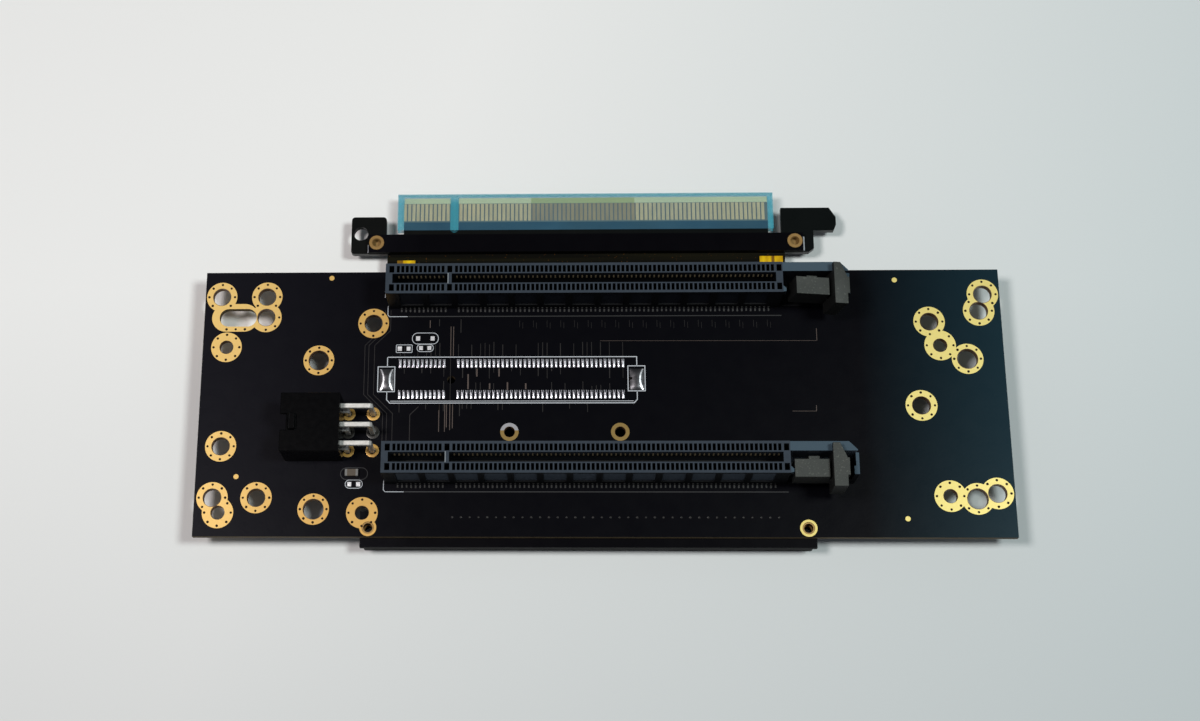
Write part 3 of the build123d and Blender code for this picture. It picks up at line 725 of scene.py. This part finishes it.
# Brass nuts. Four round nuts with a fine thread are pressed into the two small end boards. Their
# bores are painted dark brown as painted shade, the rear ones with a closed bottom and the front ones with a
# collar.
nut_bore_r = 1.03 * mm
nut_r = 1.7 * mm
thread_pitch = 0.45 * mm
thread_depth = 0.13 * mm
thread_root_r = nut_bore_r + 0.01 * mm
bottom_t = 0.1 * mm
collar_r = 1.28 * mm
collar_h = 1.5 * mm
brass, brass_shader, brass_place = new_finish("brass_nut", metallic=0.5)
brass_up = facing_of(brass_place).part(2) > 0.5
brass_bright = brass_place.noise(0.0008, detail=3.0).blend((0.26, 0.15, 0.045), (0.42, 0.25, 0.085))
# Faces that do not look up, such as the bores and threads, are painted dark brown as painted shade.
brass_up.blend((0.055, 0.030, 0.012), brass_bright).into(brass_shader, "Base Color")
(0.30 + brass_place.noise(0.0003) * 0.16).into(brass_shader, "Roughness")
dress("rear_brass_nuts", brass)
dress("front_brass_nuts", brass)
for end in ("rear", "front"):
    low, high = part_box(end + "_brass_nuts")
    reach = (high[0] - low[0]) / 2 - nut_r
    middle = (low[0] + high[0]) / 2
    grooves = int((high[2] - low[2]) / thread_pitch)
    ridge = lathe("thread_ridge", [(thread_root_r, 0.0),
                                   (nut_bore_r - thread_depth, thread_pitch * 0.35),
                                   (thread_root_r, thread_pitch * 0.7)], 32)
    spots = [at(middle + way * reach, (low[1] + high[1]) / 2, low[2] + (i + 0.15) * thread_pitch)
             for way in (-1, 1) for i in range(grooves)]
    settle(repeated(end + "_nut_threads", spots, ridge, brass))
bottom = lathe("nut_bottom", [(0, 0), (nut_bore_r, 0), (nut_bore_r, bottom_t), (0, bottom_t)], 32)
low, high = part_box("rear_brass_nuts")
spots = [at(x, (low[1] + high[1]) / 2, low[2] + bottom_t) for x in (low[0] + nut_r, high[0] - nut_r)]
settle(repeated("rear_nut_bottoms", spots, bottom, brass))
collar = lathe("collar", [(nut_bore_r, 0), (collar_r, 0), (collar_r, collar_h), (nut_bore_r, collar_h)], 32)
collars = repeated("front_nut_collars", [at(x, y, board_low) for x, y, d in nut_holes], collar, brass)
settle(collars)


# Flexible circuit. Copper tracks between brown polyimide films, glued to both small boards. At the
# rear two patches of yellow polyimide tape, creased and a little scorched, hold it down.
flex, flex_shader, flex_place = new_finish("flex", shine=0.05)
flex_bands = flex_place.noise(0.0012, detail=1.0, stretch=(0.02, 1, 1)).rising(0.45, 0.65)
flex_specks = flex_place.noise(0.0003, detail=0.0) > 0.80
flex_ground = flex_bands.blend((0.0020, 0.0018, 0.0008), (0.0065, 0.0057, 0.0018))
flex_specks.blend(flex_ground, (0.08, 0.03, 0.005)).into(flex_shader, "Base Color")
(0.45 + flex_place.noise(0.003) * 0.2).into(flex_shader, "Roughness")
flex_bands.bump(0.2, 0.00004).into(flex_shader, "Normal")
dress("flex_ribbon", flex)

scorched_left, scorched_xs = -45.2 * mm, (39.7 * mm, 40.4 * mm)
tape, tape_shader, tape_place = new_finish("tape", roughness=0.25, shine=0.3)
# Brighter and darker yellow in soft streaks, as painted sheen and painted shade of the creased tape.
tape_sheen = tape_place.noise(0.0012, detail=3.0, stretch=(1, 0.3, 1)).rising(0.35, 0.7)
tape_yellow = tape_sheen.blend((0.44, 0.24, 0.003), (0.84, 0.55, 0.006))
tape_x = tape_place.part(0)
tape_burnt = (tape_x < scorched_left).maths("MAXIMUM", tape_x.between(*scorched_xs))
(tape_burnt * 0.8).blend(tape_yellow, (0.10, 0.035, 0.008)).into(tape_shader, "Base Color")
tape_place.noise(0.002).bump(0.2, 0.0002).into(tape_shader, "Normal")
dress("left_tape_patch", tape)
dress("right_tape_patch", tape)


# Front support bar. A strip of black plastic, milled to height, glued under the front end board.
# Its long faces keep the fine lines of the cutter.
bar, bar_shader, bar_place = new_finish("bar_plastic", roughness=0.6, shine=0.12)
bar_place.noise(0.0015, stretch=(0.1, 1, 1)).blend((0.0012, 0.0012, 0.0016), (0.0028, 0.0028, 0.0034)).into(
    bar_shader, "Base Color")
bar_place.noise(0.0006, stretch=(0.1, 1, 1)).bump(0.15, 0.0001).into(bar_shader, "Normal")
dress("front_support_bar", bar)


# Capacitor. A brown block of ceramic, 2 mm long, stands by the power header. Its tinned ends are
# soldered to two pads.
ceramic, ceramic_shader, ceramic_place = new_finish("ceramic", roughness=0.5)
ceramic_colour = ceramic_place.noise(0.0004).blend((0.045, 0.032, 0.018), (0.075, 0.052, 0.030))
ceramic_colour.into(ceramic_shader, "Base Color")
dress("capacitor_body", ceramic)
dull_tin, dull_shader, dull_place = new_finish("dull_tin", roughness=0.45, metallic=0.3)
dull_place.noise(0.0004).blend((0.10, 0.10, 0.10), (0.20, 0.20, 0.19)).into(dull_shader, "Base Color")
dress("capacitor_ends", dull_tin)


# White print and masked tracks. Epoxy ink printed through a screen marks where parts go, and copper
# tracks under the mask show as thin raised lines, mostly round the unfitted middle connector.
ink, ink_shader, ink_place = new_finish("white_print", roughness=0.6)
ink_wear = ink_place.noise(0.0003, detail=3.0)
ink_wear.blend((0.36, 0.39, 0.43), (0.62, 0.65, 0.69)).into(ink_shader, "Base Color")
shaded_ink, shaded_ink_shader, shaded_ink_place = new_finish("faint_print", roughness=0.6)
# These print lines are painted nearly black, darkest towards the right, as painted shade on the white print.
ink_shade_rightwards = shaded_ink_place.part(0).rising(-0.045, -0.010).blend((0.030, 0.032, 0.036), (0.006, 0.007, 0.009))
shaded_ink_place.noise(0.0006, detail=3.0).blend((0.004, 0.0045, 0.005), ink_shade_rightwards).into(
    shaded_ink_shader, "Base Color")
track, track_shader, track_place = new_finish("masked_track", roughness=0.35, shine=0.3)
track_colour = track_place.noise(0.002).blend((0.008, 0.0075, 0.008), (0.030, 0.027, 0.026))
track_colour.into(track_shader, "Base Color")


def painted_lines(name, lines, thickness, material, level=board_top):
    """Flat lines on a board. Each is (width, closed, points in millimetres of the board's plan)."""
    corners, faces = [], []
    for width, closed, points in lines:
        path = [Vector((x * mm, y * mm + card_y)) for x, y in points]
        count = len(path)
        start = len(corners)
        for i, here in enumerate(path):
            before = path[i - 1] if closed or i else None
            after = path[(i + 1) % count] if closed or i + 1 < count else None
            along_in = (here - before).normalized() if before else None
            along_out = (after - here).normalized() if after else along_in
            along_in = along_in or along_out
            across_in = Vector((-along_in.y, along_in.x))
            across = (across_in + Vector((-along_out.y, along_out.x))).normalized()
            reach = width * mm / 2 / max(across.dot(across_in), 0.4)
            for way in (-1, 1):
                spot = here + across * way * reach
                corners += [(spot.x, spot.y, level), (spot.x, spot.y, level + thickness)]
        for i in range(count if closed else count - 1):
            a = start + 4 * i
            b = start + 4 * ((i + 1) % count)
            faces += [(a + 1, b + 1, b + 3, a + 3), (a, a + 2, b + 2, b),
                      (a, b, b + 1, a + 1), (a + 2, a + 3, b + 3, b + 2)]
        if not closed:
            last = start + 4 * (count - 1)
            faces += [(start, start + 1, start + 3, start + 2), (last, last + 2, last + 3, last + 1)]
    settle(mesh_object(name, corners, faces, material))


def upright(width, x, y0, y1):
    """A straight line across the board, from one y to another."""
    return width, False, [(x, y0), (x, y1)]


def rounded(x0, x1, y0, y1, radius, steps=5):
    """A rectangle with round corners, as plan points."""
    points = []
    for cx, cy, first in ((x1 - radius, y1 - radius, 0), (x0 + radius, y1 - radius, 90),
                          (x0 + radius, y0 + radius, 180), (x1 - radius, y0 + radius, 270)):
        for i in range(steps + 1):
            angle = radians(first + 90 * i / steps)
            points.append((cx + radius * cos(angle), cy + radius * sin(angle)))
    return points


fine, broad = 0.14, 0.2
left_tick, tick_pitch, ticks = -18.0, 3.1, 19
print_t = 0.012 * mm
track_t = 0.006 * mm
print_lines = [
    (broad, False, [(-47.8, 5.3), (8.3, 5.3), (8.3, 3.15)]),
    (broad, False, [(-47.8, 5.3), (-47.8, 3.05)]),
    (broad, True, [(-49.9, 3.05), (-46.1, 3.05), (-46.1, -2.75), (-49.9, -2.75)]),
    (broad, True, [(6.3, 3.15), (10.1, 3.15), (10.1, -2.65), (6.3, -2.65)]),
    (broad, False, [(-47.8, -2.75), (-47.8, -4.6), (-47.1, -5.4), (7.6, -5.4), (8.3, -4.6), (8.3, -2.65)]),
    (fine, False, [(-47.0, -4.95), (7.5, -4.95)]),
    (fine, True, rounded(-42.3, -36.4, 8.4, 11.0, 1.2)),
    (fine, True, rounded(-41.2, -37.5, 6.6, 8.3, 0.8)),
    (fine, True, rounded(-45.9, -42.3, 6.4, 8.2, 0.15)),
    (fine, True, rounded(-56.5, -52.7, -24.8, -22.95, 0.9)),
    upright(fine, -48.7, 21.0, 19.4),
]
shaded_lines = [(fine, True, rounded(-57.6, -51.6, -22.85, -20.2, 1.3))]
for line_y in (14.9, -25.6):
    corner = [(-48.0, line_y + 2.6), (-48.0, line_y + 0.4), (-47.6, line_y), (-43.5, line_y)]
    print_lines.append((fine, False, corner))
    shaded_lines.append((broad, False, [(-43.4, line_y), (41.0, line_y)]))
painted_lines("board_print", print_lines, print_t, ink)
painted_lines("faint_print", shaded_lines, print_t, shaded_ink)
finger_marks = [upright(0.3, 47.25, 34.9, 31.5), upright(0.3, -53.25, 33.4, 31.4)]
finger_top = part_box("finger_board")[1][2]
painted_lines("finger_board_marks", finger_marks, print_t, ink, level=finger_top)

random.seed(11)
pad_xs = [-44.95 + 0.992 * i for i in range(11)] + [-31.8 + i for i in range(38)]
track_lines = []
for x in pad_xs:
    if random.random() < 0.5:
        end = 8.7 + random.uniform(-0.5, 0.2)
        track_lines.append(upright(random.choice((0.12, 0.16)), x, 5.4, end))
    if random.random() < 0.3:
        end = 2.6 - random.uniform(0.6, 2.4)
        track_lines.append(upright(random.choice((0.12, 0.2)), x, 2.6, end))
    if random.random() < 0.25:
        track_lines.append(upright(0.14, x, -2.3, -2.3 + random.uniform(0.6, 2.4)))
    if random.random() < 0.3:
        track_lines.append(upright(0.14, x, -5.6, -6.4 - random.uniform(0.1, 1.4)))
for x, y0, y1 in ((-36.2, 14.2, 12.6), (-31.3, 14.2, 11.0), (-31.4, -5.6, -8.4)):
    track_lines.append(upright(0.16, x, y0, y1))
track_lines.append((0.14, False, [(-40.6, -6.2), (-42.5, -8.1), (-42.5, -15.8)]))
track_lines.append(upright(0.12, -33.55, 5.6, -5.7))
for x in [left_tick + tick_pitch * i for i in range(ticks)]:
    track_lines += [upright(0.07, x, 12.3, 13.9), upright(0.07, x + 0.7, 12.0, 13.4)]
for shift in (0.0, 0.9, 2.2):
    track_lines.append((0.12, False, [(-49.5 + shift, 16.4), (-49.5 + shift, 11.6), (-53.0 + shift, 8.1),
                                      (-53.0 + shift, -3.4), (-48.6 + shift, -7.8), (-48.6 + shift, -16.4)]))
painted_lines("masked_tracks", track_lines, track_t, track)
copper, copper_shader, copper_place = new_finish("covered_copper", roughness=0.4, shine=0.3)
copper_colour = copper_place.noise(0.001).blend((0.055, 0.042, 0.038), (0.12, 0.088, 0.075))
copper_colour.into(copper_shader, "Base Color")
copper_lines = [upright(0.32, *line) for line in (
    (-27.6, 2.6, 0.75), (-22.6, 2.6, 0.75), (-29.55, 1.3, -2.2), (-24.7, -0.85, -2.2), (-20.7, -0.6, -2.4),
    (-16.6, -0.85, -2.2))]
copper_lines += [upright(0.16, *line) for line in (
    (-33.55, 12.5, 5.6), (-32.95, 12.5, 5.6), (-33.55, -5.7, -11.6), (-32.95, -5.7, -11.2),
    (-36.0, -5.7, -12.0), (-34.7, -5.7, -12.0), (-34.3, -5.7, -11.0), (-38.3, 14.0, 12.2))]
copper_lines += [upright(0.13, 48.7, 11.8, 8.95), upright(0.13, 47.9, -6.0, -7.35),
                 (0.07, False, [(0.1, 9.05), (48.6, 8.95)]), (0.09, False, [(42.6, -7.35), (47.9, -7.35)])]
painted_lines("covered_copper", copper_lines, track_t, copper)


# Bare pads. Two rows of tinned pads between two wide tabs wait for the middle connector, and a few
# pads for small parts. Round gold marks steer the placing machine, a row of covered vias runs along
# the front, and specks of solder lie on the finger board.
pad_w, pad_l, pad_edge, pad_rise = 0.6 * mm, 1.95 * mm, 0.03 * mm, 0.10 * mm
pad_pitch = 1.0 * mm
tab_w, tab_l, tab_edge, tab_rise = 3.2 * mm, 4.9 * mm, 0.1 * mm, 0.36 * mm
tab_inset = 1.7 * mm
pad_rows = (3.8, -3.4)
speck_y = 35.75
chip_x, chip_y, chip_t = 0.45 * mm, 0.5 * mm, 0.06 * mm
slant_per_y = 0.22
dark_reflection_span = (0.62 * mm, 0.90 * mm)
sheen_near, sheen_far, sheen_curve = 0.5 * mm, 0.85 * mm, 110.0
pit_left, pit_back, pit_r = 1.35 * mm, 0.2 * mm, 0.32 * mm
pad_dark_reflection = (0.20, 0.19, 0.22)
sheen_colour = (0.85, 0.86, 0.90)
pit_colour = (0.004, 0.003, 0.003)


def cushion(name, width, length, edge, rise, steps):
    """A solder pad: flat below, upright round its edge and swelling to the middle."""
    ticks = [2 * i / steps - 1 for i in range(steps + 1)]
    corners = [(u * width / 2, v * length / 2, edge + rise * (1 - u ** 2) * (1 - v ** 4))
               for v in ticks for u in ticks]
    across = steps + 1
    faces = [(j * across + i, j * across + i + 1, (j + 1) * across + i + 1, (j + 1) * across + i)
             for j in range(steps) for i in range(steps)]
    rim = list(range(steps)) + [j * across + steps for j in range(steps)]
    rim += [steps * across + i for i in range(steps, 0, -1)] + [j * across for j in range(steps, 0, -1)]
    start = len(corners)
    corners += [(corners[i][0], corners[i][1], 0.0) for i in rim]
    count = len(rim)
    faces += [(rim[k], start + k, start + (k + 1) % count, rim[(k + 1) % count]) for k in range(count)]
    faces.append(tuple(start + k for k in range(count)))
    return mesh_object(name, corners, faces)


pad = cushion("pad", pad_w, pad_l, pad_edge, pad_rise, 4)
bright_tin, bright_shader, bright_place = new_finish("bright_tin", metallic=0.9)
bright_colour = bright_place.noise(0.0011, detail=3.0).blend((0.66, 0.66, 0.71), (0.92, 0.91, 0.97))
# Dark slanting bands across the pads are painted reflection of the dark room in the swollen solder.
slant = (bright_place.part(0) + bright_place.part(1) * slant_per_y + pad_pitch).maths("WRAP", pad_pitch, 0.0)
dark_reflection_band = slant.between(*dark_reflection_span)
dark_reflection_band.blend(bright_colour, pad_dark_reflection).into(bright_shader, "Base Color")
(0.24 + bright_place.noise(0.0006) * 0.12).into(bright_shader, "Roughness")
bright_place.noise(0.0007, detail=1.0).bump(0.16, 0.0002).into(bright_shader, "Normal")
tab_tin, tab_shader, tab_place = new_finish("tab_tin", metallic=0.85)
tab_low, tab_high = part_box("middle_solder_tabs")
tab_xs = {"left": tab_low[0] + tab_inset, "right": tab_high[0] - tab_inset}
tab_y = (tab_low[1] + tab_high[1]) / 2
on_left = tab_place.part(0) < -20 * mm
aside = tab_place.part(0) + on_left * (tab_xs["right"] - tab_xs["left"]) - tab_xs["right"]
along = tab_place.part(1) - tab_y
sheen = (aside.maths("ABSOLUTE") - along * along * sheen_curve).between(sheen_near, sheen_far)
sheen = sheen * (on_left + (aside > 0.0)).maths("MINIMUM", 1.0)
tab_grey = tab_place.noise(0.0016).blend((0.06, 0.06, 0.065), (0.13, 0.13, 0.14))
pit_x, pit_y = aside + pit_left, along - pit_back
pit = (pit_x * pit_x + pit_y * pit_y).maths("SQRT") < pit_r
pit = pit * (on_left * -1.0 + 1.0)
pit.blend(sheen.blend(tab_grey, sheen_colour), pit_colour).into(tab_shader, "Base Color")
(0.28 + tab_place.noise(0.0008) * 0.12).into(tab_shader, "Roughness")
tab_place.noise(0.0012, detail=1.0).bump(0.2, 0.0002).into(tab_shader, "Normal")
for tab, tab_x in tab_xs.items():
    swell = cushion("tab", tab_w, tab_l, tab_edge, tab_rise, 16)
    piece = repeated(tab + "_solder_tab", [at(tab_x, tab_y, board_top)], swell, tab_tin)
    settle(piece, stands_for=("middle_solder_tabs",))


def on_plan(points, level=board_top):
    """A spot for each point of the board's plan, given in millimetres."""
    return [at(x * mm, y * mm + card_y, level) for x, y in points]


pad_spots = on_plan((x, y) for y in pad_rows for x in pad_xs)
settle(repeated("middle_connector_pads", pad_spots, pad, bright_tin, grow=0.03))

small_pads = [(-41.0, 9.7), (-37.7, 9.7), (-40.3, 7.45), (-38.4, 7.45), (-45.1, 7.3), (-43.1, 7.3),
              (-55.6, -23.9), (-53.6, -23.9)]
chip_outline = [(x * chip_x, y * chip_y) for x, y in square]
chip_pad = prisms("chip_pad", [chip_outline], ((0, chip_t),))
settle(repeated("small_chip_pads", on_plan(small_pads), chip_pad, tin, grow=0.05))

speck = lathe("speck", [(0, 0), (0, 0.04 * mm), (0.09 * mm, 0.03 * mm), (0.12 * mm, 0.0)], 8)
specks = [(-8.0 + 2.15 * i + random.uniform(-0.5, 0.5), speck_y) for i in range(21)]
settle(repeated("solder_specks", on_plan(specks, finger_top), speck, tin, grow=0.5))

fiducials = [(-61.1, 24.2), (-80.9, -22.2), (66.75, 23.2), (66.5, -31.5)]
dot = lathe("dot", [(0, 0), (0, 0.04 * mm), (0.55 * mm, 0.04 * mm), (0.6 * mm, 0.0)], 24)
settle(repeated("fiducial_dots", on_plan(fiducials), dot, gold))
front_vias = [(-32.7 + 1.93 * i, -31.25) for i in range(38)]
stitch = lathe("stitch_via", [(0, 0), (0, 0.02 * mm), (0.16 * mm, 0.03 * mm), (0.24 * mm, 0.0)], 10)
settle(repeated("front_row_vias", on_plan(front_vias), stitch, track, grow=0.1))
